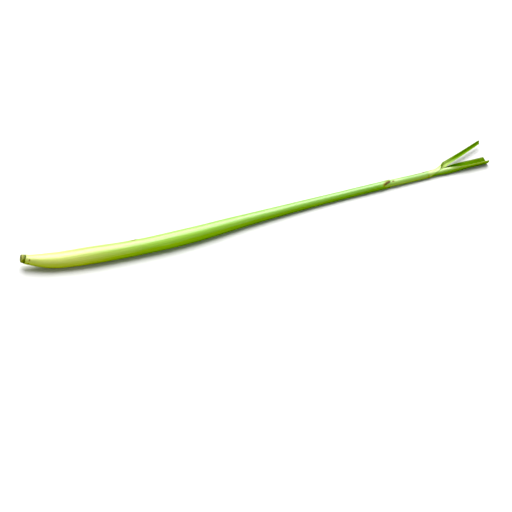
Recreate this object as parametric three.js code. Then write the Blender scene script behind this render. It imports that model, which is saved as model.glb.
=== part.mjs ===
import * as THREE from "three";

// One cut lemongrass stalk, lying on the surface z = 0. Millimetres.
// X runs from the cut root end to the cut leaf ends. Y is sideways, and the side blade leans to +Y.
// The stalk is a short woody stub with leaves wrapped round it, one inside the other. The lower part
// of each leaf is its sheath, a tube open along one seam. Past its collar the leaf is a free blade.

// Driving dimensions
const LENGTH = 400; // from the root end to the longest leaf end
const STUB_RADIUS = 3.45; // at the cut face
const STUB_INSIDE = 26; // how far up inside the leaves the woody stub reaches
const NODE_RING = 2.3; // the middle of the ring of the lowest leaf scar
const SHEATH_FOOT = 3.3; // where the outer sheath grows from the stub
const OUTER_END = 98; // where the trimmed outer sheath ends
const SECOND_COLLAR = 316;
const THIRD_COLLAR = 349;
const BLADE_END = 398; // of the side blade
const FLARED = THIRD_COLLAR + 8; // the third leaf is wide open here
const FREED = THIRD_COLLAR + 19; // and here it is a blade clear of the stalk
const GAP = 0.3; // between one leaf and the next
const SETTLE = 0.2; // how far the soft underside is flattened by lying down
const ROOT_LIFT = 6.4; // the root end stands clear of the surface by this
const LIFTED = 32; // the stretch from the root end that curves up
const SEAM = THREE.MathUtils.degToRad(4); // the opening left between the two margins of a sheath
const ACROSS = 24; // facets across a leaf
const FOLD_SHARE = 0.16; // the share of a leaf's half width that a fold along the midrib takes

// A smooth curve through [station, value] points, level with its end values beyond them.
function through(points) {
  const last = points.length - 1;
  const slope = (i) => {
    const before = points[Math.max(i - 1, 0)];
    const after = points[Math.min(i + 1, last)];
    return (after[1] - before[1]) / (after[0] - before[0]);
  };
  return (x) => {
    if (x <= points[0][0]) return points[0][1];
    if (x >= points[last][0]) return points[last][1];
    const i = points.findIndex((p) => p[0] > x) - 1;
    const span = points[i + 1][0] - points[i][0];
    const t = (x - points[i][0]) / span;
    const rise = points[i + 1][1] - points[i][1];
    const start = slope(i) * span;
    const end = slope(i + 1) * span;
    return points[i][1] + t * (start + t * (3 * rise - 2 * start - end + t * (start + end - 2 * rise)));
  };
}

// The axis of the stalk and the radius of the whole wrap.
const sway = through([
  [0, 0], [20, -5.6], [50, -9.6], [105, -12.4], [145, -11.4],
  [190, -7.6], [250, -3.8], [320, -1.5], [LENGTH, 0],
]);
const wrap = through([
  [6, 4.1], [14, 5.3], [24, 6.4], [54, 7.25], [85, 6.8], [125, 6.65], [160, 6.0],
  [192, 4.95], [222, 4.2], [265, 3.5], [SECOND_COLLAR, 3.3], [333, 2.95], [LENGTH, 2.9],
]);

function axis(x) {
  const lift = ROOT_LIFT * Math.max(1 - x / LIFTED, 0) ** 1.5;
  return new THREE.Vector3(x, sway(x), wrap(x) - SETTLE + lift);
}

// The side blade leaves the axis past its collar and leans away and slightly up.
const lean = through([
  [344, 0], [352, 0.5], [358, 2.0], [362, 4.3], [367, 6.6], [372, 8.4], [382, 12.0], [BLADE_END, 18.2],
]);
const leanUp = through([[352, 0], [368, 0.8], [BLADE_END, 2.6]]);

function bladeAxis(x) {
  return axis(x).add(new THREE.Vector3(0, lean(x), leanUp(x)));
}

// The direction of a path and the two directions across it: to the side, and up.
function frameAt(path, x) {
  const along = path(x + 0.5).sub(path(x - 0.5)).normalize();
  const side = new THREE.Vector3(0, 0, 1).cross(along).normalize();
  const up = along.clone().cross(side);
  return { at: path(x), along, side, up };
}

// The section of a leaf: its middle line turns by curl evenly from margin to margin, and by fold
// along the midrib. Each point is [along the chord, depth from the midrib, direction].
function middleLine({ width, curl, fold }) {
  const direction = (s) => (curl / 2) * s + (fold / 2) * THREE.MathUtils.clamp(s / FOLD_SHARE, -1, 1);
  const step = 2 / ACROSS;
  const half = [[0, 0, direction(0)]];
  for (let i = 0; i < ACROSS / 2; i++) {
    const [a, b] = half[i];
    const turned = direction((i + 0.5) * step);
    const length = (width / 2) * step;
    half.push([a + length * Math.cos(turned), b + length * Math.sin(turned), direction((i + 1) * step)]);
  }
  const mirrored = half.slice(1).reverse().map(([a, b, d]) => [-a, b, -d]);
  return [...mirrored, ...half];
}

// A closed solid from a stack of leaf sections. section(x) gives width, curl, fold, thickness,
// open (the direction that the opening faces, from up towards +Y) and end, how far each point
// across the leaf, from -1 to 1, is moved along the leaf.
function leafGeometry(path, stations, section) {
  const positions = [];
  for (const x of stations) {
    const s = section(x);
    const { at, along, side, up } = frameAt(path, x);
    const opening = up.clone().multiplyScalar(Math.cos(s.open)).addScaledVector(side, Math.sin(s.open));
    const chord = opening.clone().cross(along);
    const line = middleLine(s);
    const seat = Math.max(...line.map((p) => p[1])) / 2;
    for (const face of [-0.5, 0.5]) {
      line.forEach(([a, b, direction], i) => {
        const across = (2 * i) / ACROSS - 1;
        const off = face * s.thickness * (1 - 0.4 * across ** 6);
        const p = at.clone()
          .addScaledVector(chord, a - off * Math.sin(direction))
          .addScaledVector(opening, b - seat + off * Math.cos(direction))
          .addScaledVector(along, s.end ? s.end(across) : 0);
        positions.push(p.x, p.y, p.z < SETTLE / 2 ? 0 : p.z);
      });
    }
  }
  const row = ACROSS + 1;
  const ring = 2 * row;
  const outer = (k, i) => k * ring + i;
  const inner = (k, i) => k * ring + row + i;
  const index = [];
  const quad = (a, b, c, d) => index.push(a, b, c, a, c, d);
  for (let k = 0; k + 1 < stations.length; k++) {
    for (let i = 0; i < ACROSS; i++) {
      quad(outer(k, i), outer(k, i + 1), outer(k + 1, i + 1), outer(k + 1, i));
      quad(inner(k, i), inner(k + 1, i), inner(k + 1, i + 1), inner(k, i + 1));
    }
    quad(outer(k, 0), outer(k + 1, 0), inner(k + 1, 0), inner(k, 0));
    quad(outer(k, ACROSS), inner(k, ACROSS), inner(k + 1, ACROSS), outer(k + 1, ACROSS));
  }
  const top = stations.length - 1;
  for (let i = 0; i < ACROSS; i++) {
    quad(outer(0, i), inner(0, i), inner(0, i + 1), outer(0, i + 1));
    quad(outer(top, i), outer(top, i + 1), inner(top, i + 1), inner(top, i));
  }
  const geometry = new THREE.BufferGeometry();
  geometry.setAttribute("position", new THREE.Float32BufferAttribute(positions, 3));
  geometry.setIndex(index);
  geometry.computeVertexNormals();
  return geometry;
}

// Stations from start to end, about step apart.
function stationsFrom(start, end, step) {
  const count = Math.max(Math.round((end - start) / step), 1);
  return Array.from({ length: count + 1 }, (_, i) => start + ((end - start) * i) / count);
}

// A sheath is a leaf curled into a tube: the developed width follows from its outer radius.
function sheath(radius, thickness, open) {
  const curl = 2 * Math.PI - SEAM;
  return { width: (radius - thickness / 2) * curl, curl, fold: 0, thickness, open };
}

// Between two sections, for a leaf that opens out of its sheath.
function between(a, b, t) {
  const mixed = {};
  for (const key of ["width", "curl", "fold", "thickness", "open"]) {
    mixed[key] = THREE.MathUtils.lerp(a[key], b[key], t);
  }
  return mixed;
}

const degrees = THREE.MathUtils.degToRad;

// Layer thicknesses along the stalk, thick and fleshy in the bulb and thin above.
const outerThickness = through([[6, 0.5], [54, 0.6], [OUTER_END, 0.4]]);
const secondThickness = through([[10, 0.8], [54, 1.0], [200, 0.6], [SECOND_COLLAR, 0.5]]);
const thirdThickness = through([[16, 0.8], [54, 1.0], [200, 0.55], [THIRD_COLLAR, 0.45]]);

// Outer radii of the layers, each inside the one before it.
function secondRadius(x) {
  const covered = 1 - THREE.MathUtils.smoothstep(x, OUTER_END + 3, OUTER_END + 30);
  return wrap(x) - covered * (outerThickness(x) + GAP);
}

function thirdRadius(x) {
  const covered = 1 - THREE.MathUtils.smoothstep(x, SECOND_COLLAR + 2, SECOND_COLLAR + 10);
  return THREE.MathUtils.lerp(wrap(x), secondRadius(x) - secondThickness(x) - GAP, covered);
}

function heartRadius(x) {
  return thirdRadius(x) - thirdThickness(x) - GAP;
}

// The woody stub: the cut root end, the ring of the lowest leaf scar, and the taper on which the
// leaves grow, hidden inside them.
function stubGeometry() {
  const outline = [
    [0, STUB_RADIUS - 0.35],
    [0.4, STUB_RADIUS],
    [NODE_RING - 0.7, STUB_RADIUS - 0.1],
    [NODE_RING - 0.3, STUB_RADIUS + 0.3],
    [NODE_RING + 0.3, STUB_RADIUS + 0.25],
    [NODE_RING + 0.6, STUB_RADIUS - 0.3],
    [10, 3.2],
    [10.6, 2.5],
    [16, 2.4],
    [16.6, 1.6],
    [STUB_INSIDE - 3, 1.5],
    [STUB_INSIDE - 2.4, 0.9],
    [STUB_INSIDE, 0.7],
  ];
  const sides = 20;
  const positions = [];
  for (const [x, radius] of outline) {
    const { at, side, up } = frameAt(axis, x);
    for (let i = 0; i < sides; i++) {
      const turn = (2 * Math.PI * i) / sides;
      const p = at.clone()
        .addScaledVector(side, radius * Math.cos(turn))
        .addScaledVector(up, radius * Math.sin(turn));
      positions.push(p.x, p.y, p.z);
    }
  }
  const index = [];
  const rings = outline.length;
  for (let k = 0; k + 1 < rings; k++) {
    for (let i = 0; i < sides; i++) {
      const next = (i + 1) % sides;
      const here = k * sides;
      const beyond = here + sides;
      index.push(here + i, here + next, beyond + next, here + i, beyond + next, beyond + i);
    }
  }
  for (const [k, x, turned] of [[0, 0, true], [rings - 1, STUB_INSIDE, false]]) {
    const middle = axis(x);
    const centre = positions.push(middle.x, middle.y, middle.z) / 3 - 1;
    for (let i = 0; i < sides; i++) {
      const edge = [k * sides + i, k * sides + ((i + 1) % sides)];
      index.push(centre, ...(turned ? edge.reverse() : edge));
    }
  }
  const geometry = new THREE.BufferGeometry();
  geometry.setAttribute("position", new THREE.Float32BufferAttribute(positions, 3));
  geometry.setIndex(index);
  geometry.computeVertexNormals();
  return geometry;
}

// The outer sheath, trimmed short, with a torn upper edge.
function outerSheathGeometry() {
  const stations = [...stationsFrom(SHEATH_FOOT, 30, 4.4), ...stationsFrom(36, OUTER_END, 7.7)];
  return leafGeometry(axis, stations, (x) => {
    const torn = THREE.MathUtils.smoothstep(x, 70, OUTER_END);
    return {
      ...sheath(wrap(x), outerThickness(x), degrees(-126)),
      end: (across) => torn * (2.2 * Math.cos(3.1 * across + 0.6) + 0.9 * Math.sin(8.5 * across)),
    };
  });
}

// The second leaf: a sheath up to its collar, where the blade has broken off.
function secondLeafGeometry() {
  const rim = through([[SECOND_COLLAR - 6, 0], [SECOND_COLLAR - 2, 0.15], [SECOND_COLLAR, 0.3]]);
  const stations = [
    ...stationsFrom(11.5, 36, 4.9),
    ...stationsFrom(46, 106, 12),
    ...stationsFrom(114, 138, 8),
    ...stationsFrom(150, SECOND_COLLAR - 10, 13),
    ...stationsFrom(SECOND_COLLAR - 5, SECOND_COLLAR, 2.5),
  ];
  return leafGeometry(axis, stations, (x) => {
    const broken = THREE.MathUtils.smoothstep(x, SECOND_COLLAR - 12, SECOND_COLLAR);
    return {
      ...sheath(secondRadius(x) + rim(x), secondThickness(x), degrees(111)),
      end: (across) => broken * (1.2 * Math.cos(4.4 * across) - 0.8),
    };
  });
}

// The third leaf: a sheath up to its collar, then a blade that opens, turns and leaves the stalk.
function thirdLeafGeometry() {
  const flare = { width: 11.5, curl: degrees(195), fold: degrees(10), thickness: 0.42, open: degrees(-106) };
  const blade = { width: 5.6, curl: degrees(45), fold: degrees(50), thickness: 0.45, open: degrees(-14) };
  const tip = { width: 4.1, curl: degrees(40), fold: degrees(50), thickness: 0.4, open: degrees(-12) };
  const stations = [
    ...stationsFrom(17.5, 42, 6.1),
    ...stationsFrom(54, 106, 13),
    ...stationsFrom(118, 310, 16),
    ...stationsFrom(316, 328, 3),
    ...stationsFrom(335, THIRD_COLLAR, 7),
    ...stationsFrom(352, 370, 2.6),
    ...stationsFrom(376, BLADE_END, 5.5),
  ];
  return leafGeometry(bladeAxis, stations, (x) => {
    const tube = sheath(thirdRadius(x), thirdThickness(x), degrees(-82));
    if (x <= THIRD_COLLAR) return tube;
    if (x <= FLARED) return between(tube, flare, THREE.MathUtils.smoothstep(x, THIRD_COLLAR, FLARED));
    if (x <= FREED) return between(flare, blade, THREE.MathUtils.smoothstep(x, FLARED, FREED));
    const along = (x - FREED) / (BLADE_END - FREED);
    const cut = THREE.MathUtils.smoothstep(x, BLADE_END - 14, BLADE_END);
    return { ...between(blade, tip, along), end: (across) => cut * (2 + 0.9 * across) };
  });
}

// The heart leaf: rolled solid inside the others, then folded along its midrib into a gutter. Its
// roll is a little slimmer at the fork, where the margins of the third leaf turn in towards it.
function heartLeafGeometry() {
  const pinhole = 0.3;
  const slimmer = 0.12;
  const folded = { width: 12.6, curl: degrees(110), fold: degrees(44), thickness: 0.5, open: degrees(26) };
  const stations = [
    ...stationsFrom(STUB_INSIDE + 1, 44, 8.5),
    ...stationsFrom(56, 104, 12),
    ...stationsFrom(118, 310, 16),
    ...stationsFrom(322, THIRD_COLLAR, 9),
    ...stationsFrom(353, 377, 4),
    ...stationsFrom(384, LENGTH, 8),
  ];
  return leafGeometry(axis, stations, (x) => {
    const radius = heartRadius(x) - slimmer * THREE.MathUtils.smoothstep(x, THIRD_COLLAR - 12, THIRD_COLLAR);
    const roll = sheath(radius, radius - pinhole, degrees(22));
    const opened = THREE.MathUtils.smoothstep(x, THIRD_COLLAR + 4, THIRD_COLLAR + 38);
    const cut = THREE.MathUtils.smoothstep(x, LENGTH - 16, LENGTH);
    return { ...between(roll, folded, opened), end: (across) => cut * (0.8 - 1.5 * across) };
  });
}

const parts = [
  ["root_stub", stubGeometry(), 0x8a8a3a, 0.8],
  ["outer_sheath", outerSheathGeometry(), 0xdbe29a, 0.5],
  ["second_leaf", secondLeafGeometry(), 0xa9cc55, 0.45],
  ["third_leaf", thirdLeafGeometry(), 0x86b32e, 0.45],
  ["heart_leaf", heartLeafGeometry(), 0x7aa52a, 0.45],
];

const stalk = new THREE.Group();
for (const [name, geometry, color, roughness] of parts) {
  const mesh = new THREE.Mesh(geometry, new THREE.MeshStandardMaterial({ color, roughness, metalness: 0 }));
  mesh.name = name;
  stalk.add(mesh);
}

// The origin is under the middle of the stalk, on the surface that it lies on.
const box = new THREE.Box3().setFromObject(stalk);
const middle = box.getCenter(new THREE.Vector3());
stalk.position.set(-middle.x, -middle.y, -box.min.z);

export default stalk;
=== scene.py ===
import math

import bpy
from bpy.props import FloatProperty, FloatVectorProperty, IntProperty, PointerProperty
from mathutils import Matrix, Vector, noise


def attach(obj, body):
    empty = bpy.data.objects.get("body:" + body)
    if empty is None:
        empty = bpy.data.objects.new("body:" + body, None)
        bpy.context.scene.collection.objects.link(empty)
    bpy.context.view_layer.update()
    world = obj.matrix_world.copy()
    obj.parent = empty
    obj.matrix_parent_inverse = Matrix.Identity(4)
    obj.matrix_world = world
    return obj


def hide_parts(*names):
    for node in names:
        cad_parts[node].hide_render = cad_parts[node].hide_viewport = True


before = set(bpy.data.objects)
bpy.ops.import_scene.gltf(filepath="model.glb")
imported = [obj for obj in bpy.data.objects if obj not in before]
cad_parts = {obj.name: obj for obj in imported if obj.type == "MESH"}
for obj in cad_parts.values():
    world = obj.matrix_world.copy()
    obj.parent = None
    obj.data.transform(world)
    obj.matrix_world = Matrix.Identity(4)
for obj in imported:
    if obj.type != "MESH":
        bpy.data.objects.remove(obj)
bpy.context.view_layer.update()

bl_info = {
    "name": "Lemongrass stalk",
    "version": (1, 0, 0),
    "blender": (4, 5, 0),
    "location": "View3D > Sidebar > Lemongrass",
    "description": "Builds a cut lemongrass stalk round the packed frame, and the stage it lies on",
    "category": "Add Mesh",
}

# Places along the stalk, in millimetres from the root end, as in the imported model.
MM = 0.001
LENGTH = 400
OUTER_END = 98  # where the trimmed outer sheath ends
SECOND_COLLAR = 316
THIRD_COLLAR = 349
FLARED = THIRD_COLLAR + 8  # where the third leaf has unrolled into a flare
FREED = THIRD_COLLAR + 19  # where its side blade is clear of the stalk
BLADE_END = 398  # of the side blade
SHEATH_FOOT = 3.3  # where the outer sheath grows from the stub
STUB_INSIDE = 26  # how far up inside the leaves the woody stub reaches
SETTLE = 0.2  # how far the soft underside is flattened by lying down
ROOT_LIFT = 6.4  # how far the root end curves up
LIFTED = 32  # the stretch from the root end that curves up
ORIGIN = Vector((200.681, 0.724, 0))  # the frame's origin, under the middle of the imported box
FOLD_SHARE = 0.16  # the share of a leaf's half width that a fold along the midrib takes
THICKEST = 1.0  # the leaf wall that a full vertex weight stands for


def through(points):
    """A smooth curve through [station, value] points, level with its end values beyond them."""
    last = len(points) - 1

    def slope(i):
        before, after = points[max(i - 1, 0)], points[min(i + 1, last)]
        return (after[1] - before[1]) / (after[0] - before[0])

    def value(x):
        if x <= points[0][0]:
            return points[0][1]
        if x >= points[last][0]:
            return points[last][1]
        i = next(k for k, point in enumerate(points) if point[0] > x) - 1
        span = points[i + 1][0] - points[i][0]
        t = (x - points[i][0]) / span
        rise = points[i + 1][1] - points[i][1]
        start, end = slope(i) * span, slope(i + 1) * span
        return points[i][1] + t * (start + t * (3 * rise - 2 * start - end + t * (start + end - 2 * rise)))

    return value


def lerp(a, b, t):
    return a + (b - a) * t


def smoothstep(x, low, high):
    """0 up to low, 1 from high on, and a smooth rise between them."""
    t = min(max((x - low) / (high - low), 0), 1)
    return t * t * (3 - 2 * t)


def spot(x, middle, reach):
    """1 at the middle, falling smoothly to 0 at reach on either side."""
    return 1 - smoothstep(abs(x - middle), 0, reach)


def apart(turn, degrees):
    """How far apart two directions round the stalk are, in degrees, from 0 to 180."""
    return abs((math.degrees(turn) - degrees + 180) % 360 - 180)


def mark(x, turn, at, reach, toward, spread):
    """1 in the middle of a mark, falling to 0 at reach along the stalk and at spread degrees round it."""
    return spot(x, at, reach) * spot(apart(turn, toward), 0, spread)


# The axis of the stalk, the radius of the whole wrap, and the side blade's way off the axis.
sway = through([
    [0, 0], [20, -5.6], [50, -9.6], [105, -12.4], [145, -11.4],
    [190, -7.6], [250, -3.8], [320, -1.5], [LENGTH, 0],
])
wrap = through([
    [6, 4.1], [14, 5.3], [24, 6.4], [54, 7.25], [85, 6.8], [125, 6.65], [160, 6.0],
    [192, 4.95], [222, 4.2], [265, 3.5], [SECOND_COLLAR, 3.3], [333, 2.95], [LENGTH, 2.9],
])
lean = through([
    [344, 0], [352, 0.5], [358, 2.0], [362, 4.3], [367, 6.6], [372, 8.4], [382, 12.0],
    [BLADE_END, 18.2],
])
lean_up = through([[352, 0], [368, 0.8], [BLADE_END, 2.6]])


def axis(x):
    lift = ROOT_LIFT * max(1 - x / LIFTED, 0) ** 1.5
    return Vector((x, sway(x), wrap(x) - SETTLE + lift))


def blade_axis(x):
    return axis(x) + Vector((0, lean(x), lean_up(x)))


def frame_at(path, x):
    """The point of a path and its directions along, to the side and up."""
    along = (path(x + 0.5) - path(x - 0.5)).normalized()
    side = Vector((0, 0, 1)).cross(along).normalized()
    return path(x), along, side, along.cross(side)


# Layer thicknesses and the radii of the layers, each inside the one before it.
outer_wall = through([[6, 0.3], [54, 0.4], [OUTER_END - 12, 0.3], [OUTER_END, 0.1]])
second_wall = through([
    [10, 0.5], [54, 0.7], [200, 0.5], [SECOND_COLLAR - 8, 0.4], [SECOND_COLLAR, 0.25],
])
third_wall = through([[16, 0.5], [54, 0.7], [200, 0.5], [THIRD_COLLAR, 0.4], [BLADE_END, 0.4]])
HEART_WALL = 0.5
CLEARANCE = 0.05  # between one leaf and the next


def second_radius(x):
    covered = 1 - smoothstep(x, OUTER_END + 3, OUTER_END + 30)
    return wrap(x) - covered * (outer_wall(x) + CLEARANCE)


def third_radius(x):
    covered = 1 - smoothstep(x, SECOND_COLLAR + 1, SECOND_COLLAR + 12)
    return lerp(wrap(x), second_radius(x) - second_wall(x) - CLEARANCE, covered)


def heart_radius(x):
    return third_radius(x) - third_wall(x) - CLEARANCE


class StalkSizes(bpy.types.PropertyGroup):
    facets: IntProperty(
        name="Facets", description="Facets from one margin of a leaf to the other", default=160, min=24
    )
    ribs: IntProperty(
        name="Ribs", description="Fine ribs from one margin of a leaf to the other", default=40, min=0
    )
    rib_depth: FloatProperty(
        name="Rib depth", description="Depth of the furrows between the ribs", default=0.00005,
        unit="LENGTH", subtype="DISTANCE", precision=6,
    )
    unevenness: FloatProperty(
        name="Unevenness", description="Share of its radius by which the stalk is out of round",
        default=0.03, subtype="FACTOR", min=0, max=0.2,
    )
    lap: FloatProperty(
        name="Lap", description="Angle by which one margin of a sheath laps over the other",
        default=math.radians(34), subtype="ANGLE",
    )
    stub_width: FloatProperty(
        name="Stub width", description="Width of the woody stub at its cut end", default=0.0069,
        unit="LENGTH", subtype="DISTANCE", precision=5,
    )
    scars: IntProperty(
        name="Root scars", description="Root scars round the woody stub", default=7, min=0
    )


class StalkColours(bpy.types.PropertyGroup):
    bulb: FloatVectorProperty(
        name="Bulb", description="Pale tissue over the bulb", default=(0.58, 0.64, 0.15),
        subtype="COLOR", size=3, min=0, max=1,
    )
    neck: FloatVectorProperty(
        name="Neck", description="Lime green above the bulb", default=(0.29, 0.54, 0.04),
        subtype="COLOR", size=3, min=0, max=1,
    )
    green: FloatVectorProperty(
        name="Green", description="Green of the slender sheath", default=(0.18, 0.4, 0.03),
        subtype="COLOR", size=3, min=0, max=1,
    )
    blade: FloatVectorProperty(
        name="Blade", description="Deeper green of the free blades", default=(0.15, 0.3, 0.01),
        subtype="COLOR", size=3, min=0, max=1,
    )
    inside: FloatVectorProperty(
        name="Inside", description="Pale inner face and cut edges of a leaf", default=(0.5, 0.62, 0.2),
        subtype="COLOR", size=3, min=0, max=1,
    )
    dry_and_shade: FloatVectorProperty(
        name="Dry", description="Dried brown tissue at collars, scars and torn margins",
        default=(0.1, 0.05, 0.006), subtype="COLOR", size=3, min=0, max=1,
    )
    wood: FloatVectorProperty(
        name="Wood", description="Olive skin of the woody stub", default=(0.22, 0.24, 0.035),
        subtype="COLOR", size=3, min=0, max=1,
    )
    floor: FloatVectorProperty(
        name="Floor", description="Pale floor", default=(0.74, 0.74, 0.74),
        subtype="COLOR", size=3, min=0, max=1,
    )


class StageSettings(bpy.types.PropertyGroup):
    azimuth: FloatProperty(
        name="Azimuth", description="Direction that the camera looks from, round the stalk",
        default=math.radians(-16.3), subtype="ANGLE",
    )
    elevation: FloatProperty(
        name="Elevation", description="Height of the camera above the surface, as an angle",
        default=math.radians(50), subtype="ANGLE",
    )
    distance: FloatProperty(
        name="Distance", description="From the camera to the point it looks at", default=4.672,
        unit="LENGTH", subtype="DISTANCE",
    )
    aim: FloatVectorProperty(
        name="Aim", description="Point on the surface that the camera looks at",
        default=(-0.0126, -0.0440, 0), subtype="TRANSLATION", size=3, precision=4,
    )
    lens: FloatProperty(name="Lens", description="Focal length", default=400, unit="CAMERA")
    key: FloatProperty(name="Key light", description="Strength of the large light overhead", default=5.0)
    black: FloatProperty(
        name="Black level", description="Light that is shown as black, which deepens the shaded greens",
        default=0.045, min=0, max=0.2,
    )
    low: FloatProperty(
        name="Low light", description="Strength of the weak light from the near side", default=0.65
    )
    fill: FloatProperty(name="Fill light", description="Strength of the even light all round", default=0.26)


# Helpers for the tools

def deselect():
    if bpy.context.object and bpy.context.object.mode != "OBJECT":
        bpy.ops.object.mode_set(mode="OBJECT")
    bpy.ops.object.select_all(action="DESELECT")


def use(piece):
    """Makes a piece the only selected one."""
    deselect()
    piece.select_set(True)
    bpy.context.view_layer.objects.active = piece


def settle(piece, name, slot, *nodes):
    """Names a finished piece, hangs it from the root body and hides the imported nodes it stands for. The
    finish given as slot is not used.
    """
    piece.name = piece.data.name = name
    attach(piece, "root")
    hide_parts(*nodes)


def store(mesh, name, values):
    """Keeps a value for each vertex, which the materials read."""
    mesh.attributes.new(name, "FLOAT", "POINT").data.foreach_set("value", values)


# Leaves

def section_line(width, curl, fold, facets):
    """The back face of a leaf across it: points [along the chord, depth from the midrib, direction]."""
    def direction(s):
        return curl / 2 * s + fold / 2 * min(max(s / FOLD_SHARE, -1), 1)

    step = 2 / facets
    length = width / 2 * step
    half = [(0, 0, direction(0))]
    for i in range(facets // 2):
        a, b, _ = half[i]
        turned = direction((i + 0.5) * step)
        half.append((a + length * math.cos(turned), b + length * math.sin(turned), direction((i + 1) * step)))
    return [(-a, b, -d) for a, b, d in reversed(half[1:])] + half


def lumps(x, turn, share):
    """How far the stalk stands out of round, the same for all its layers."""
    coarse = Vector((0.8 * math.cos(turn), 0.8 * math.sin(turn), x / 70))
    fine = Vector((1.9 * math.cos(turn), 1.9 * math.sin(turn), x / 34 + 7))
    return share * wrap(x) * (noise.noise(coarse) + 0.4 * noise.noise(fine))


def furrow(x, s, ribs):
    """How deep the furrows between the ribs are here, as a share of the full depth."""
    wave = 0.5 - 0.5 * math.cos(math.pi * (s + 1) * ribs)
    uneven = 0.7 + 0.5 * noise.noise(Vector((s * 14, x / 80, 3)))
    return wave * uneven * smoothstep(1 - abs(s), 0, 0.1)


def ragged(s, seed, size):
    """An uneven line along a torn or cut edge."""
    return size * (noise.noise(Vector((s * 5, seed, 0))) + 0.5 * noise.noise(Vector((s * 17, seed, 5))))


def sheath(radius, wall, opening):
    """A leaf curled into a tube whose margins lap. Its way of opening is in degrees."""
    curl = 2 * math.pi + bpy.context.scene.stalk_sizes.lap
    opening = math.radians(opening)
    return {"width": radius * curl, "curl": curl, "fold": 0, "wall": wall, "open": opening, "tube": 1}


def free_leaf(width, curl, fold, wall, opening):
    """A leaf that is open, with its curl, its fold and its way of opening in degrees."""
    return {
        "width": width, "curl": math.radians(curl), "fold": math.radians(fold), "wall": wall,
        "open": math.radians(opening), "tube": 0,
    }


def between(a, b, t):
    return {key: lerp(a[key], b[key], t) for key in a}


def margin_wall(section, s, lap_share):
    """The wall at a place across the leaf. The margins are thin, so lapped ones add up to one wall."""
    edge = 1 - abs(s)
    outermost = lerp(0.2, 0.5, smoothstep(edge, 0, lap_share))
    lapped = lerp(outermost, 1, smoothstep(edge, lap_share, 2 * lap_share))
    flat = lerp(0.35, 1, smoothstep(edge, 0, 0.7))
    return section["wall"] * lerp(flat, lapped, section["tube"])


def stations_from(*spans):
    """Stations over joined spans, each given as (start, end, step)."""
    stations = []
    for start, end, step in spans:
        count = max(round((end - start) / step), 1)
        stations += [start + (end - start) * i / count for i in range(count)]
    return stations + [spans[-1][1]]


def leaf_blank(stations, facets):
    """A flat blank with a row of vertices for each line along the leaf, and its flow map."""
    deselect()
    bpy.ops.mesh.primitive_grid_add(x_subdivisions=len(stations) - 1, y_subdivisions=facets)
    leaf = bpy.context.active_object
    flow = leaf.data.uv_layers.active
    flow.name = "flow"
    for loop in leaf.data.loops:
        j, i = divmod(loop.vertex_index, len(stations))
        flow.data[loop.index].uv = (stations[i] / LENGTH, j / facets)
    return leaf


def give_wall(leaf):
    """Thickens a leaf inwards by its vertex weights. Inside and on its edges it takes its second material."""
    use(leaf)
    wall = leaf.modifiers.new("wall", "SOLIDIFY")
    wall.thickness = THICKEST * MM
    wall.offset = -1
    wall.vertex_group = "wall"
    wall.material_offset = 1
    wall.material_offset_rim = 1
    bpy.ops.object.modifier_apply(modifier="wall")
    bpy.ops.object.shade_smooth_by_angle(angle=math.radians(50))


def roll_leaf(path, stations, shape, radius, ends, marks, back):
    """A leaf: a flat blank, rolled or folded by shape(x) along a path, then given its wall.

    No tool rolls a sheet by an amount that changes along it, so the blank's vertices are placed here.
    radius(x) is that of its sheath, so that the flattened underside leaves room for the leaves outside it.
    ends(x, s, turn) moves a point along the leaf, and marks(x, s, turn) gives its dry and pale shares.
    s runs across the leaf from -1 to 1, and turn is the direction round the stalk.
    back is the material of the outer face. The inner face and the cut edges get their own.
    """
    sizes = bpy.context.scene.stalk_sizes
    leaf = leaf_blank(stations, sizes.facets)
    mesh = leaf.data
    wall_group = leaf.vertex_groups.new(name="wall")
    dry_and_shade, pale = [0] * len(mesh.vertices), [0] * len(mesh.vertices)
    rib_depth = sizes.rib_depth / MM
    for i, x in enumerate(stations):
        section = shape(x)
        at, along, side, up = frame_at(path, x)
        opening = up * math.cos(section["open"]) + side * math.sin(section["open"])
        chord = opening.cross(along)
        line = section_line(section["width"], section["curl"], section["fold"], sizes.facets)
        seat = max(point[1] for point in line) / 2
        lap_share = max(section["curl"] - 2 * math.pi, 0.3) / section["curl"] * 2
        sole = (wrap(x) - radius(x)) * section["tube"]
        for j, (a, b, direction) in enumerate(reversed(line)):
            s = 1 - 2 * j / sizes.facets
            turn = math.pi - direction + section["open"]
            # The margin that lies inside the lap is tucked in under the other one.
            tucked = smoothstep(-s, 1 - 1.7 * lap_share, 1 - lap_share)
            tuck = section["tube"] * tucked * (0.5 * section["wall"] + 0.02)
            out = lumps(x, turn, sizes.unevenness) - rib_depth * furrow(x, s, sizes.ribs) - tuck
            point = at + chord * (a + out * math.sin(direction))
            point += opening * (b - seat - out * math.cos(direction))
            point += along * ends(x, s, turn)
            point.z = max(point.z, sole)
            index = j * len(stations) + i
            mesh.vertices[index].co = (point - ORIGIN) * MM
            wall_group.add([index], margin_wall(section, s, lap_share) / THICKEST, "REPLACE")
            dry_and_shade[index], pale[index] = marks(x, s, turn)
    store(mesh, "dry_and_shade", dry_and_shade)
    store(mesh, "pale", pale)
    dress(leaf, back, leaf_inside())
    give_wall(leaf)
    return leaf


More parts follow.
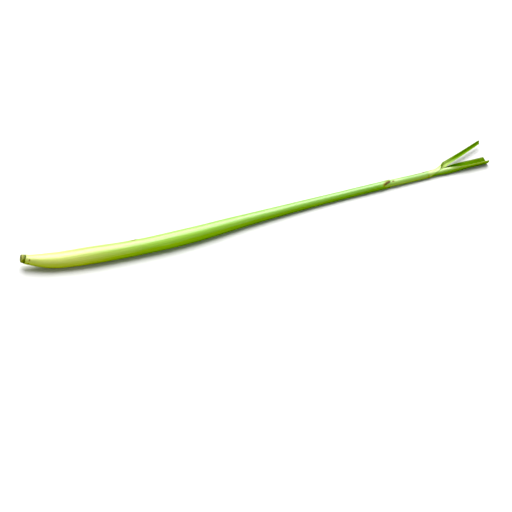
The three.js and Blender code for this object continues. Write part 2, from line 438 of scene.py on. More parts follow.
class LEMONGRASS_OT_outer_sheath(bpy.types.Operator):
    """Adds the pale outer sheath over the bulb, trimmed short with an uneven edge"""
    bl_idname = "lemongrass.outer_sheath"
    bl_label = "Outer sheath"

    def execute(self, context):
        def shape(x):
            return sheath(wrap(x), outer_wall(x), -126 + 0.12 * (x - 50))

        def ends(x, s, turn):
            torn = smoothstep(x, OUTER_END - 30, OUTER_END)
            notch = 5 * spot(apart(turn, 34), 0, 26)
            foot = 1 - smoothstep(x, SHEATH_FOOT, SHEATH_FOOT + 10)
            return torn * (ragged(s, 1, 2.4) - notch) + foot * ragged(s, 2, 0.6)

        def marks(x, s, turn):
            edge = 0.15 * smoothstep(x, OUTER_END - 3.5, OUTER_END)
            stain = 0.75 * mark(x, turn, at=OUTER_END - 1, reach=8, toward=36, spread=34)
            foot = 0.2 * (1 - smoothstep(x, SHEATH_FOOT, SHEATH_FOOT + 1.2))
            bruise = 0.95 * mark(x, turn, at=6.8, reach=1.5, toward=-42, spread=26)
            nick = 0.8 * mark(x, turn, at=6.2, reach=1.3, toward=-92, spread=26)
            return max(edge, stain, foot, bruise, nick), edge

        stations = stations_from((SHEATH_FOOT, 20, 0.7), (20, 84, 2), (84, OUTER_END, 0.7))
        leaf = roll_leaf(axis, stations, shape, wrap, ends, marks, pale_sheath_back())
        settle(leaf, "outer_sheath_leaf", "pale_sheath", "outer_sheath")
        return {"FINISHED"}


class LEMONGRASS_OT_second_leaf(bpy.types.Operator):
    """Adds the second leaf: a long sheath that ends at its collar, where the blade has broken off"""
    bl_idname = "lemongrass.second_leaf"
    bl_label = "Second leaf"

    def execute(self, context):
        rim = through([[SECOND_COLLAR - 7, 0], [SECOND_COLLAR - 2, 0.18], [SECOND_COLLAR, 0.1]])

        def shape(x):
            return sheath(second_radius(x) + rim(x), second_wall(x), 111 - 0.05 * (x - 200))

        def ends(x, s, turn):
            broken = smoothstep(x, SECOND_COLLAR - 14, SECOND_COLLAR)
            oblique = 5.5 * spot(apart(turn, -75), 0, 75)
            return broken * (ragged(s, 3, 1.3) - oblique)

        def marks(x, s, turn):
            edge = smoothstep(x, SECOND_COLLAR - 8, SECOND_COLLAR - 1)
            near = spot(apart(turn, -22), 0, 48)
            return edge * lerp(0.16, 1.15, near), 0

        stations = stations_from(
            (11.5, 90, 3), (90, 140, 2), (140, SECOND_COLLAR - 16, 4),
            (SECOND_COLLAR - 16, SECOND_COLLAR, 0.5),
        )
        leaf = roll_leaf(axis, stations, shape, second_radius, ends, marks, green_sheath_back())
        settle(leaf, "second_leaf_sheath", "green_sheath", "second_leaf")
        return {"FINISHED"}


class LEMONGRASS_OT_third_leaf(bpy.types.Operator):
    """Adds the third leaf: a sheath up to its collar, then the side blade"""
    bl_idname = "lemongrass.third_leaf"
    bl_label = "Third leaf"

    def execute(self, context):
        flare = free_leaf(width=11.5, curl=195, fold=10, wall=0.42, opening=-106)
        blade = free_leaf(width=5.6, curl=45, fold=50, wall=0.45, opening=-14)
        tip = free_leaf(width=4.1, curl=40, fold=50, wall=0.4, opening=-12)
        collar = through([[THIRD_COLLAR - 3, 0], [THIRD_COLLAR - 0.5, 0.14], [THIRD_COLLAR + 1.5, 0]])

        def shape(x):
            tube = sheath(third_radius(x) + collar(x), third_wall(x), -82)
            if x <= THIRD_COLLAR:
                return tube
            if x <= FLARED:
                return between(tube, flare, smoothstep(x, THIRD_COLLAR, FLARED))
            if x <= FREED:
                return between(flare, blade, smoothstep(x, FLARED, FREED))
            return between(blade, tip, (x - FREED) / (BLADE_END - FREED))

        def ends(x, s, turn):
            cut = smoothstep(x, BLADE_END - 14, BLADE_END)
            return cut * (2 + 0.9 * s + ragged(s, 4, 0.25))

        def marks(x, s, turn):
            band = 0.32 * spot(x, THIRD_COLLAR, 1.8)
            bruise = 0.9 * mark(x, turn, at=THIRD_COLLAR - 3.5, reach=4, toward=40, spread=42)
            margin = 0.8 * mark(x, turn, at=THIRD_COLLAR - 10, reach=10, toward=20, spread=9)
            dot = 0.85 * mark(x, turn, at=SECOND_COLLAR + 2.5, reach=2.2, toward=-15, spread=30)
            cut = 0.35 * smoothstep(x, BLADE_END - 1, BLADE_END)
            base = smoothstep(x, THIRD_COLLAR - 1, THIRD_COLLAR + 2) * (1 - smoothstep(x, 360, 380))
            after_collar = spot(x, SECOND_COLLAR + 6, 9)
            return max(band, bruise, margin, dot, cut), max(0.9 * base, 0.5 * after_collar)

        stations = stations_from(
            (17.5, 300, 8), (300, 336, 1), (336, 372, 0.5), (372, BLADE_END - 4, 1),
            (BLADE_END - 4, BLADE_END, 0.5),
        )
        leaf = roll_leaf(blade_axis, stations, shape, third_radius, ends, marks, blade_back())
        settle(leaf, "third_leaf_blade", "leaf_blade", "third_leaf")
        return {"FINISHED"}


class LEMONGRASS_OT_heart_leaf(bpy.types.Operator):
    """Adds the heart leaf, rolled inside the others and then folded along its midrib into a gutter"""
    bl_idname = "lemongrass.heart_leaf"
    bl_label = "Heart leaf"

    def execute(self, context):
        gutter = free_leaf(width=12.6, curl=110, fold=44, wall=HEART_WALL, opening=22)

        def shape(x):
            loosened = 0.35 * smoothstep(x, THIRD_COLLAR + 8, THIRD_COLLAR + 20)
            pinched = 0.25 * spot(x, THIRD_COLLAR + 1, 14)
            roll = sheath(heart_radius(x) + loosened - pinched, HEART_WALL, 22)
            return between(roll, gutter, smoothstep(x, THIRD_COLLAR + 4, THIRD_COLLAR + 38))

        def ends(x, s, turn):
            cut = smoothstep(x, LENGTH - 16, LENGTH)
            return cut * (0.8 - 1.5 * s + ragged(s, 6, 0.25))

        def marks(x, s, turn):
            # The brown where the side blade leaves the heart is painted shade in the crotch.
            painted_crotch_shade = 0.7 * mark(x, turn, at=FREED, reach=4, toward=70, spread=30)
            cut = 0.35 * smoothstep(x, LENGTH - 1, LENGTH)
            base = 0.7 * (1 - smoothstep(x, 362, 384)) * spot(apart(turn, 20), 20, 90)
            return max(painted_crotch_shade, cut), base

        stations = stations_from(
            (STUB_INSIDE + 1, 330, 8), (330, 350, 2), (350, LENGTH - 6, 1), (LENGTH - 6, LENGTH, 0.5)
        )
        leaf = roll_leaf(axis, stations, shape, heart_radius, ends, marks, blade_back())
        settle(leaf, "heart_leaf_gutter", "heart_blade", "heart_leaf")
        return {"FINISHED"}


# The woody stub

STUB_SIDES = 84
STUB_CHAMFER = 0.3  # by how much the cut face is smaller all round than the stub
SCAR_BAND = (0.9, 2.2)  # the root scars lie between these stations


def select_faces(piece, test):
    """Selects the faces whose centre and normal pass a test, and leaves edit mode on."""
    bpy.ops.object.mode_set(mode="EDIT")
    bpy.ops.mesh.select_mode(type="FACE")
    bpy.ops.mesh.select_all(action="DESELECT")
    bpy.ops.object.mode_set(mode="OBJECT")
    for face in piece.data.polygons:
        face.select = test(face)
    bpy.ops.object.mode_set(mode="EDIT")


def draw_out(outline, width):
    """Draws the selected face out along X through [station, radius] points, from station 0 and a radius."""
    x = 0
    for next_x, next_width in outline:
        bpy.ops.mesh.extrude_region_move(TRANSFORM_OT_translate={"value": ((next_x - x) * MM, 0, 0)})
        grown = next_width / width
        bpy.ops.transform.resize(value=(1, grown, grown), center_override=(next_x * MM, 0, 0))
        x, width = next_x, next_width


def inset_rings(rings):
    """Insets the selected faces by each (width, height) in turn, in millimetres."""
    for width, height in rings:
        bpy.ops.mesh.inset(thickness=width * MM, depth=height * MM)


def roughen(stub):
    """Gives the stub lengthwise fibres and dents, and its cut face a little unevenness."""
    for vertex in stub.data.vertices:
        x, y, z = (c / MM for c in vertex.co)
        turn = math.atan2(z, y)
        fibre = noise.noise(Vector((x * 0.5, 9 * math.cos(turn), 9 * math.sin(turn))))
        dent = noise.noise(Vector((x, y, z)) * 1.1)
        grown = 1 + 0.012 * fibre + 0.03 * dent
        vertex.co.y *= grown
        vertex.co.z *= grown
        vertex.co.x += 0.1 * dent * MM * (1 - smoothstep(x, 0, 1))


def lay_along(piece, path):
    """Lays a piece that was modelled straight along X, in metres, along a path."""
    for vertex in piece.data.vertices:
        at, _, side, up = frame_at(path, vertex.co.x / MM)
        vertex.co = (at - ORIGIN) * MM + side * vertex.co.y + up * vertex.co.z


class LEMONGRASS_OT_woody_stub(bpy.types.Operator):
    """Adds the woody stub with its cut end, leaf scar ring, root scars and hidden taper"""
    bl_idname = "lemongrass.woody_stub"
    bl_label = "Woody stub"

    def execute(self, context):
        sizes = context.scene.stalk_sizes
        radius = sizes.stub_width / 2 / MM
        outline = [
            [0.35, radius], [0.8, radius - 0.06], [1.3, radius - 0.02], [1.7, radius - 0.06],
            [2.1, radius + 0.1], [2.5, radius + 0.3], [2.9, radius + 0.3], [3.4, radius + 0.05],
            [4.4, radius - 0.3], [8, 3.2], [10.6, 2.5], [16, 2.2], [STUB_INSIDE, 0.7],
        ]
        deselect()
        bpy.ops.mesh.primitive_circle_add(
            vertices=STUB_SIDES, radius=(radius - STUB_CHAMFER) * MM, fill_type="NGON",
            rotation=(0, math.pi / 2, 0),
        )
        stub = context.active_object
        bpy.ops.object.transform_apply(location=True, rotation=True, scale=True)
        bpy.ops.object.mode_set(mode="EDIT")
        bpy.ops.mesh.select_mode(type="FACE")
        bpy.ops.mesh.select_all(action="SELECT")
        draw_out(outline, radius - STUB_CHAMFER)
        bpy.ops.mesh.select_all(action="SELECT")
        bpy.ops.mesh.normals_make_consistent(inside=False)

        # The cut face has a bark rim, a softer ring inside it and a slightly sunken middle.
        select_faces(stub, lambda face: face.normal.x < -0.9 and len(face.vertices) == STUB_SIDES)
        inset_rings([(0.25, 0), (0.35, -0.12), (0.7, -0.02), (0.9, 0.05), (0.8, -0.04)])
        bpy.ops.mesh.poke()

        # Root scars are low knobs between the cut face and the ring.
        step = 2 * math.pi / max(sizes.scars, 1)
        half_scar = 2.1 * 2 * math.pi / STUB_SIDES

        def in_scar(face):
            turn = math.atan2(face.center.z, face.center.y) + 0.3
            off = (turn + step / 2) % step - step / 2
            in_band = SCAR_BAND[0] < face.center.x / MM < SCAR_BAND[1]
            return abs(off) < half_scar and in_band and abs(face.normal.x) < 0.5

        select_faces(stub, in_scar)
        inset_rings([(0.12, 0.14), (0.14, 0.1), (0.1, -0.12)])
        bpy.ops.object.mode_set(mode="OBJECT")

        use(stub)
        soft = stub.modifiers.new("soft", "SUBSURF")
        soft.levels = soft.render_levels = 2
        bpy.ops.object.modifier_apply(modifier="soft")
        roughen(stub)
        cut = []
        for vertex in stub.data.vertices:
            middle = math.hypot(vertex.co.y, vertex.co.z) / MM
            face = 1 - smoothstep(vertex.co.x / MM, 0.2, 0.45)
            cut.append(face * (1 - smoothstep(middle, radius - 0.5, radius - 0.25)))
        store(stub.data, "cut", cut)
        stations = [vertex.co.x / MM for vertex in stub.data.vertices]
        # Painted highlight: the skin just behind the cut end is paler, where the rim catches the light.
        store(stub.data, "pale", [0.7 * spot(x, 0.8, 0.9) for x in stations])
        # Painted shade: the skin is darker green from the leaf scar ring on, where the sheath's foot meets
        # the stub.
        store(stub.data, "shade", [0.7 * smoothstep(x, 1.5, 2.1) for x in stations])
        lay_along(stub, axis)
        bpy.ops.object.shade_smooth_by_angle(angle=math.radians(45))
        dress(stub, woody_skin())
        settle(stub, "woody_root_stub", "woody_stub", "root_stub")
        return {"FINISHED"}


# Materials

# The Mix node has like-named sockets for every kind of value, so those for colours go by number.
MIX_SHARE, MIX_FIRST, MIX_SECOND, MIXED_COLOUR = 0, 6, 7, 2
STREAK_CHANGES = 12  # how often the streaks of a leaf change over the length of the stalk
DRY_BREAKS = 900  # fineness of the specks that break dry tissue up
DEEP_TINT = (0.72, 0.84, 0.55)  # multiplies the colour in the darker streaks of a leaf
LIGHT_STREAK = (0.75, 0.82, 0.4)
INNER_STREAK = (0.1, 0.22, 0.01)
OCHRE = (0.75, 0.45, 0.06)
# Darker green of the painted shade on the stub, from its leaf scar ring on.
RING_SHADE_GREEN = (0.06, 0.1, 0.008)
CUT_BROWN = (0.2, 0.17, 0.04)
FLOOR_MOTTLE = (0.8, 0.8, 0.8)
GREEN_BOUNCE = (0.4, 0.46, 0.12)
WHITE = (1, 1, 1)


def dress(piece, *materials):
    piece.data.materials.clear()
    for material in materials:
        piece.data.materials.append(material)


def opaque(colour):
    """A colour with full alpha. A link stays as it is."""
    return colour if isinstance(colour, bpy.types.NodeSocket) else (*colour, 1)


def scaled(colour, share):
    return [channel * share for channel in colour]


def blend_colours(a, b, t):
    return [lerp(p, q, t) for p, q in zip(a, b)]


def feed(tree, node, inputs):
    """Gives a node's inputs values or links, by name or number."""
    for key, value in dict(inputs).items():
        if isinstance(value, bpy.types.NodeSocket):
            tree.links.new(value, node.inputs[key])
        else:
            node.inputs[key].default_value = value


def place(tree, kind, inputs=(), **settings):
    """Adds a node with its settings, and feeds its inputs."""
    node = tree.nodes.new(kind)
    for name, value in settings.items():
        setattr(node, name, value)
    feed(tree, node, inputs)
    return node


def math_node(tree, operation, *values, clamp=False):
    return place(tree, "ShaderNodeMath", enumerate(values), operation=operation, use_clamp=clamp).outputs[0]


def times(tree, first, second):
    return math_node(tree, "MULTIPLY", first, second)


def ranged(tree, value, low, high, first=0, last=1, kind="LINEAR"):
    """Turns a value into first at low, last at high, and what lies between them on the way."""
    inputs = {0: value, 1: low, 2: high, 3: first, 4: last}
    return place(tree, "ShaderNodeMapRange", inputs, interpolation_type=kind).outputs[0]


def mix_colours(tree, share, first, second, blend="MIX"):
    inputs = {MIX_SHARE: share, MIX_FIRST: opaque(first), MIX_SECOND: opaque(second)}
    return place(tree, "ShaderNodeMix", inputs, data_type="RGBA", blend_type=blend).outputs[MIXED_COLOUR]


def ramp(tree, share, stops):
    """A colour ramp with its stops, each (position, colour), in rising order."""
    node = place(tree, "ShaderNodeValToRGB", {0: share})
    elements = node.color_ramp.elements
    elements.remove(elements[1])
    elements[0].position = stops[0][0]
    for position, _ in stops[1:]:
        elements.new(position)
    for element, (_, colour) in zip(elements, stops):
        element.color = opaque(colour)
    return node.outputs[0]


def length_ramp(tree, along, stops):
    """A colour ramp along the stalk, with each stop's place in millimetres from the root end."""
    return ramp(tree, along, [(at / LENGTH, tone) for at, tone in stops])


def specks(tree, vector, scale, detail, roughness=0.5, dimensions="3D"):
    inputs = {"Vector": vector, "Scale": scale, "Detail": detail, "Roughness": roughness}
    return place(tree, "ShaderNodeTexNoise", inputs, noise_dimensions=dimensions).outputs[0]


def stretched(tree, vector, scale):
    return place(tree, "ShaderNodeMapping", {"Vector": vector, "Scale": scale}).outputs[0]


def relief(tree, height, strength, depth):
    """The normal of a surface with a relief, whose depth is in metres."""
    inputs = {"Height": height, "Strength": strength, "Distance": depth}
    return place(tree, "ShaderNodeBump", inputs).outputs[0]


def object_place(tree):
    return place(tree, "ShaderNodeTexCoord").outputs["Object"]


def flow_map(tree):
    """A leaf's own map, and its two parts: along the stalk and across the leaf, both from 0 to 1."""
    flow = place(tree, "ShaderNodeUVMap", uv_map="flow").outputs[0]
    split = place(tree, "ShaderNodeSeparateXYZ", {0: flow}).outputs
    return flow, split[0], split[1]


def attribute(tree, name):
    return place(tree, "ShaderNodeAttribute", attribute_name=name).outputs["Fac"]


def group(name, inputs, outputs):
    """A new shader node group with named sockets, and the sockets inside it of its two end nodes."""
    tree = bpy.data.node_groups.new(name, "ShaderNodeTree")
    for socket, kind in inputs:
        tree.interface.new_socket(socket, in_out="INPUT", socket_type=kind)
    for socket, kind in outputs:
        tree.interface.new_socket(socket, in_out="OUTPUT", socket_type=kind)
    return tree, tree.nodes.new("NodeGroupInput").outputs, tree.nodes.new("NodeGroupOutput").inputs


def veins_group():
    """Fine veins that run along a leaf, drawn on its flow map, as many across it as Veins says."""
    if "veins" in bpy.data.node_groups:
        return bpy.data.node_groups["veins"]
    number, vector = "NodeSocketFloat", "NodeSocketVector"
    tree, given, made = group(
        "veins",
        [("Flow", vector), ("Veins", number), ("Changes", number)],
        [("Streak", number), ("Broad", number), ("Height", number)],
    )
    flow = place(tree, "ShaderNodeSeparateXYZ", {0: given["Flow"]}).outputs
    along = times(tree, flow[0], given["Changes"])
    across = times(tree, flow[1], given["Veins"])
    fine_at = place(tree, "ShaderNodeCombineXYZ", {0: along, 1: across}).outputs[0]
    fine = specks(tree, fine_at, 1, 3, roughness=0.6, dimensions="2D")
    broad_parts = {0: times(tree, along, 0.35), 1: times(tree, across, 0.12)}
    broad_at = place(tree, "ShaderNodeCombineXYZ", broad_parts).outputs[0]
    broad = specks(tree, broad_at, 1, 2, dimensions="2D")
    wave = math_node(tree, "SINE", times(tree, across, math.tau))
    ripple = math_node(tree, "MULTIPLY_ADD", wave, 0.5, 0.5)
    height = math_node(tree, "ADD", times(tree, ripple, 0.55), fine)
    tree.links.new(fine, made["Streak"])
    tree.links.new(broad, made["Broad"])
    tree.links.new(height, made["Height"])
    return tree


def dry_group():
    """Dried brown tissue, broken up where its share is low, with an ochre edge to it. The same brown paints
    the shade in the heart leaf's crotch.
    """
    if "dry tissue" in bpy.data.node_groups:
        return bpy.data.node_groups["dry tissue"]
    number, colour = "NodeSocketFloat", "NodeSocketColor"
    tree, given, made = group(
        "dry tissue",
        [("Colour", colour), ("Dry Colour", colour), ("Share", number), ("Breaks", number)],
        [("Colour", colour), ("Share", number)],
    )
    broken = math_node(tree, "SUBTRACT", specks(tree, object_place(tree), given["Breaks"], 4), 0.5)
    share = math_node(tree, "MULTIPLY_ADD", broken, 1.1, given["Share"])
    marked = math_node(tree, "SIGN", given["Share"])
    whole = math_node(tree, "MULTIPLY", share, marked, clamp=True)
    edge = ranged(tree, whole, 0.2, 0.45, kind="SMOOTHSTEP")
    middle = ranged(tree, whole, 0.45, 0.85, kind="SMOOTHSTEP")
    edge_colour = mix_colours(tree, 0.35, given["Dry Colour"], OCHRE)
    toned = mix_colours(tree, times(tree, edge, 0.5), given["Colour"], edge_colour)
    browned = mix_colours(tree, middle, toned, given["Dry Colour"])
    tree.links.new(browned, made["Colour"])
    tree.links.new(edge, made["Share"])
    return tree


def veined(tree, flow, veins):
    """Places the veins on a leaf's flow map, and gives their outputs."""
    inputs = {"Flow": flow, "Veins": veins, "Changes": STREAK_CHANGES}
    return place(tree, "ShaderNodeGroup", inputs, node_tree=veins_group()).outputs


def dried(tree, colour, dry_and_shade):
    """Places dried tissue, and the painted shade in the heart leaf's crotch, over a leaf's colour where the
    leaf's share of them says, and gives its outputs.
    """
    inputs = {
        "Colour": colour, "Dry Colour": opaque(dry_and_shade), "Share": attribute(tree, "dry_and_shade"), "Breaks": DRY_BREAKS,
    }
    return place(tree, "ShaderNodeGroup", inputs, node_tree=dry_group()).outputs


def margin_mask(tree, across, start):
    """1 at a leaf's two margins, falling to 0 at the share start of the way out from the midrib."""
    out = math_node(tree, "ABSOLUTE", math_node(tree, "MULTIPLY_ADD", across, 2, -1))
    return ranged(tree, out, start, 1, kind="SMOOTHSTEP")


def new_material(name):
    """A material with one shader, its tree and the shader."""
    material = bpy.data.materials.new(name)
    material.use_nodes = True
    tree = material.node_tree
    return material, tree, tree.nodes["Principled BSDF"]


def leaf_back(name, stops, veins, gloss, margin):
    """The outer face of a leaf: colour along it, streaks along its veins, dried marks and satin.

    stops are its colours along the stalk, veins is how many it has across, gloss is its least roughness,
    and margin is the share of the way out from the midrib at which its margins begin to turn pale.
    """
    if name in bpy.data.materials:
        return bpy.data.materials[name]
    colours = bpy.context.scene.stalk_colours
    material, tree, shader = new_material(name)
    flow, along, across = flow_map(tree)
    grain = veined(tree, flow, veins)
    wander = math_node(tree, "MULTIPLY_ADD", grain["Broad"], 0.16, -0.08)
    colour = length_ramp(tree, math_node(tree, "ADD", along, wander), stops)

    deep = mix_colours(tree, 1, colour, DEEP_TINT, "MULTIPLY")
    deep_share = times(tree, ranged(tree, grain["Streak"], 0.42, 0.68), 0.6)
    colour = mix_colours(tree, deep_share, colour, deep)
    light = mix_colours(tree, 0.4, colour, LIGHT_STREAK)
    light_share = times(tree, ranged(tree, grain["Streak"], 0.42, 0.28), 0.5)
    colour = mix_colours(tree, light_share, colour, light)
    paler = mix_colours(tree, 0.75, colour, colours.inside)
    pale_margin = times(tree, margin_mask(tree, across, margin), 0.8)
    pale = math_node(tree, "MAXIMUM", attribute(tree, "pale"), pale_margin)
    colour = mix_colours(tree, pale, colour, paler)

    dry_and_shade = dried(tree, colour, colours.dry_and_shade)
    satin = math_node(tree, "MULTIPLY_ADD", grain["Streak"], 0.2, gloss)
    feed(tree, shader, {
        "Base Color": dry_and_shade["Colour"],
        "Roughness": math_node(tree, "MULTIPLY_ADD", dry_and_shade["Share"], 0.4, satin),
        "Normal": relief(tree, grain["Height"], 0.35, 0.0001),
        "Coat Weight": math_node(tree, "MULTIPLY_ADD", dry_and_shade["Share"], -0.5, 0.5),
        "Coat Roughness": 0.3,
        "Subsurface Weight": 0.15,
        "Subsurface Radius": (0.6, 1.0, 0.2),
        "Subsurface Scale": 0.001,
        "Specular IOR Level": 0.8,
    })
    return material


def pale_sheath_back():
    colours = bpy.context.scene.stalk_colours
    stops = [
        (0, blend_colours(colours.bulb, colours.wood, 0.25)), (14, colours.bulb), (35, colours.bulb),
        (60, blend_colours(colours.bulb, colours.neck, 0.45)),
        (100, blend_colours(colours.bulb, colours.neck, 0.9)),
    ]
    return leaf_back("pale outer sheath", stops, veins=120, gloss=0.26, margin=0.9)


def green_sheath_back():
    colours = bpy.context.scene.stalk_colours
    stops = [
        (40, colours.bulb), (100, blend_colours(colours.bulb, colours.neck, 0.9)), (130, colours.neck),
        (200, blend_colours(colours.neck, colours.green, 0.6)), (290, colours.green), (330, colours.green),
    ]
    return leaf_back("green sheath", stops, veins=120, gloss=0.26, margin=0.9)


def blade_back():
    colours = bpy.context.scene.stalk_colours
    stops = [
        (300, colours.green), (350, colours.green),
        (372, blend_colours(colours.green, colours.blade, 0.5)), (396, colours.blade),
    ]
    # The blades' margins turn pale from halfway out. This is partly their own pale margins and partly painted
    # light that lifts the near lamina out of its shade.
    return leaf_back("green blade", stops, veins=90, gloss=0.3, margin=0.5)


def leaf_inside():
    """The inner face and cut edges of the leaves: pale where they are rolled, green on the free blades, with
    painted shade along the blades' midribs and a painted highlight along the margins.
    """
    if "leaf inside" in bpy.data.materials:
        return bpy.data.materials["leaf inside"]
    colours = bpy.context.scene.stalk_colours
    material, tree, shader = new_material("leaf inside")
    flow, along, across = flow_map(tree)
    grain = veined(tree, flow, 90)
    # Towards the tip the inner face is darker than the blades' green: painted shade inside the gutter.
    stops = [
        (80, colours.inside), (352, colours.inside), (368, colours.green), (392, scaled(colours.blade, 0.8)),
    ]
    colour = length_ramp(tree, along, stops)
    streaked = mix_colours(tree, grain["Streak"], colour, INNER_STREAK)
    colour = mix_colours(tree, 0.35, colour, streaked)
    colour = mix_colours(tree, attribute(tree, "pale"), colour, colours.inside)

    # The free blades are darker along the midrib, painted shade in the gutter, and have a pale rim, a painted
    # highlight along the margins.
    middle = math_node(tree, "SUBTRACT", 1, margin_mask(tree, across, -0.6), clamp=True)
    free = ranged(tree, along, 356 / LENGTH, 376 / LENGTH, last=0.75)
    colour = mix_colours(tree, times(tree, middle, free), colour, scaled(colours.blade, 0.3))
    rim = times(tree, margin_mask(tree, across, 0.7), 0.6)
    colour = mix_colours(tree, rim, colour, colours.inside)
    feed(tree, shader, {
        "Base Color": dried(tree, colour, colours.dry_and_shade)["Colour"],
        "Roughness": 0.55,
        "Normal": relief(tree, grain["Height"], 0.3, 0.0001),
        "Specular IOR Level": 0.15,
    })
    return material


def woody_skin():
    """Olive skin with lengthwise fibres and specks, and a cut end full of fibre dots. Beside the cut end the
    skin is paler, a painted highlight on the rim, and from the leaf scar ring on it is darker, painted shade.
    """
    colours = bpy.context.scene.stalk_colours
    material, tree, shader = new_material("woody stub")
    spot_at = object_place(tree)
    fibre = specks(tree, stretched(tree, spot_at, (120, 900, 900)), 1, 4)
    light = blend_colours(colours.wood, colours.bulb, 0.45)
    skin = ramp(tree, fibre, [(0.3, scaled(colours.wood, 0.45)), (0.5, colours.wood), (0.72, light)])
    patches = ranged(tree, specks(tree, spot_at, 420, 3), 0.5, 0.62)
    skin = mix_colours(tree, patches, skin, mix_colours(tree, 0.5, skin, colours.dry_and_shade))
    # Painted highlight on the rim behind the cut end.
    skin = mix_colours(tree, attribute(tree, "pale"), skin, light)
    # Painted shade from the leaf scar ring on.
    skin = mix_colours(tree, attribute(tree, "shade"), skin, RING_SHADE_GREEN)

    dots_at = stretched(tree, spot_at, (300, 2300, 2300))
    dots = place(tree, "ShaderNodeTexVoronoi", {"Vector": dots_at, "Scale": 1}).outputs["Distance"]
    stops = [(0.15, scaled(colours.wood, 0.3)), (0.35, scaled(colours.wood, 0.7)), (0.6, colours.wood)]
    cut = ramp(tree, dots, stops)
    cut = mix_colours(tree, patches, cut, CUT_BROWN)
    feed(tree, shader, {
        "Base Color": mix_colours(tree, attribute(tree, "cut"), skin, cut),
        "Roughness": 0.6,
        "Normal": relief(tree, fibre, 0.6, 0.00025),
    })
    return material


def floor_paint():
    """Pale paint that gives the stalk a dim green light back, as other stalks beside it would."""
    colours = bpy.context.scene.stalk_colours
    material, tree, shader = new_material("floor")
    spot_at = object_place(tree)
    mottle = times(tree, specks(tree, spot_at, 3, 2), 0.04)
    feed(tree, shader, {
        "Base Color": mix_colours(tree, mottle, colours.floor, FLOOR_MOTTLE),
        "Roughness": 0.9,
        "Specular IOR Level": 0.1,
    })

    # The stalk mirrors a brighter floor on its far side, which keeps its upper edge pale.
    dim = place(tree, "ShaderNodeBsdfDiffuse", {"Color": opaque(GREEN_BOUNCE)})
    ray = place(tree, "ShaderNodeLightPath").outputs
    to_the_side = place(tree, "ShaderNodeSeparateXYZ", {0: spot_at}).outputs[1]
    near = ranged(tree, to_the_side, -0.002, 0.004, first=1, last=0.3)
    mirrored = times(tree, ray["Is Glossy Ray"], near)
    share = math_node(tree, "MAXIMUM", ray["Is Diffuse Ray"], mirrored)
    both = place(tree, "ShaderNodeMixShader", {0: share, 1: shader.outputs[0], 2: dim.outputs[0]})
    tree.links.new(both.outputs[0], tree.nodes["Material Output"].inputs["Surface"])
    return material


# The stage

FLOOR_SIZE = 12
FLOOR_DROP = 0.0001  # keeps the floor just clear of the stalk's underside
SOFTNESS = math.radians(60)  # how wide both lights are, seen from the stalk
MIRRORED_SKY = 0.8  # the share of the white sky that the stalk mirrors


def add_light(name, strength, *degrees):
    """A light so wide that its shadows are soft, turned by degrees about X, Y and Z."""
    bpy.ops.object.light_add(type="SUN", rotation=[math.radians(angle) for angle in degrees])
    light = bpy.context.active_object
    light.name = name
    light.data.energy = strength
    light.data.angle = SOFTNESS
    return light


def even_light(strength):
    """A world that shows as white, and lights the stalk by its strength from all round."""
    world = bpy.data.worlds.new("even light")
    world.use_nodes = True
    tree = world.node_tree
    glow = tree.nodes["Background"]
    feed(tree, glow, {"Color": opaque(WHITE), "Strength": strength})
    seen = place(tree, "ShaderNodeBackground", {"Color": opaque(WHITE), "Strength": 1.0})
    ray = place(tree, "ShaderNodeLightPath").outputs
    mirrored = times(tree, ray["Is Glossy Ray"], MIRRORED_SKY)
    share = math_node(tree, "MAXIMUM", ray["Is Camera Ray"], mirrored)
    both = place(tree, "ShaderNodeMixShader", {0: share, 1: glow.outputs[0], 2: seen.outputs[0]})
    tree.links.new(both.outputs[0], tree.nodes["World Output"].inputs[0])
    return world


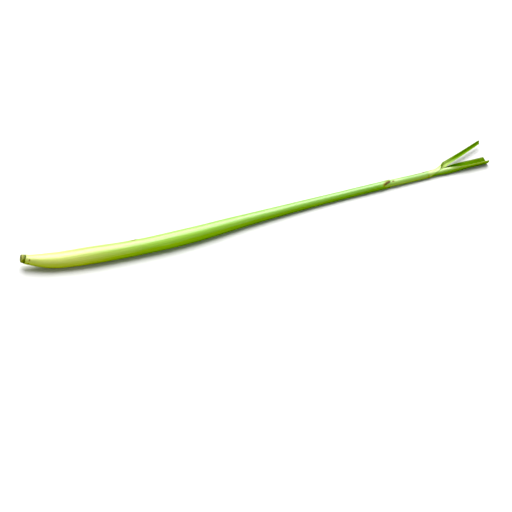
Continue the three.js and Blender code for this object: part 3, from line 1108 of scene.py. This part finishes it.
class LEMONGRASS_OT_stage(bpy.types.Operator):
    """Adds the pale floor, the soft lights, the world and the camera"""
    bl_idname = "lemongrass.stage"
    bl_label = "Stage"

    def execute(self, context):
        scene = context.scene
        stage = scene.stalk_stage
        deselect()
        bpy.ops.mesh.primitive_plane_add(size=FLOOR_SIZE, location=(0, 0, -FLOOR_DROP))
        floor = context.active_object
        floor.name = "floor"
        dress(floor, floor_paint())

        add_light("key light", stage.key, -25, 8, 0)
        low = add_light("low fill light", stage.low, 82, 0, -16)
        low.visible_glossy = False
        scene.world = even_light(stage.fill)

        a, e = stage.azimuth, stage.elevation
        back = Vector((math.sin(a) * math.cos(e), -math.cos(a) * math.cos(e), math.sin(e)))
        bpy.ops.object.camera_add(location=Vector(stage.aim) + back * stage.distance)
        camera = context.active_object
        camera.name = "camera"
        camera.rotation_mode = "QUATERNION"
        camera.rotation_quaternion = (-back).to_track_quat("-Z", "Y")
        camera.data.lens = stage.lens
        camera.data.sensor_width = 36
        camera.data.clip_start = 0.01
        scene.camera = camera
        scene.view_settings.view_transform = "Standard"
        scene.view_settings.use_curve_mapping = True
        scene.view_settings.curve_mapping.black_level = [stage.black] * 3
        return {"FINISHED"}


class LEMONGRASS_PT_panel(bpy.types.Panel):
    """Lists the pieces of the stalk and its sizes, colours and stage"""
    bl_label = "Lemongrass stalk"
    bl_space_type = "VIEW_3D"
    bl_region_type = "UI"
    bl_category = "Lemongrass"

    def draw(self, context):
        column = self.layout.column()
        for name, kind in SETTINGS.items():
            for setting in kind.__annotations__:
                column.prop(getattr(context.scene, name), setting)
        for operator in OPERATORS:
            column.operator(operator.bl_idname)


OPERATORS = (
    LEMONGRASS_OT_woody_stub,
    LEMONGRASS_OT_outer_sheath,
    LEMONGRASS_OT_second_leaf,
    LEMONGRASS_OT_third_leaf,
    LEMONGRASS_OT_heart_leaf,
    LEMONGRASS_OT_stage,
)
SETTINGS = {"stalk_sizes": StalkSizes, "stalk_colours": StalkColours, "stalk_stage": StageSettings}


def register():
    for name, settings in SETTINGS.items():
        bpy.utils.register_class(settings)
        setattr(bpy.types.Scene, name, PointerProperty(type=settings))
    for kind in (*OPERATORS, LEMONGRASS_PT_panel):
        bpy.utils.register_class(kind)


def unregister():
    for kind in (LEMONGRASS_PT_panel, *reversed(OPERATORS)):
        bpy.utils.unregister_class(kind)
    for name, settings in SETTINGS.items():
        delattr(bpy.types.Scene, name)
        bpy.utils.unregister_class(settings)


def main():
    register()
    for operator in OPERATORS:
        family, name = operator.bl_idname.split(".")
        getattr(getattr(bpy.ops, family), name)()
    bpy.context.view_layer.update()


if __name__ == "__main__":
    main()
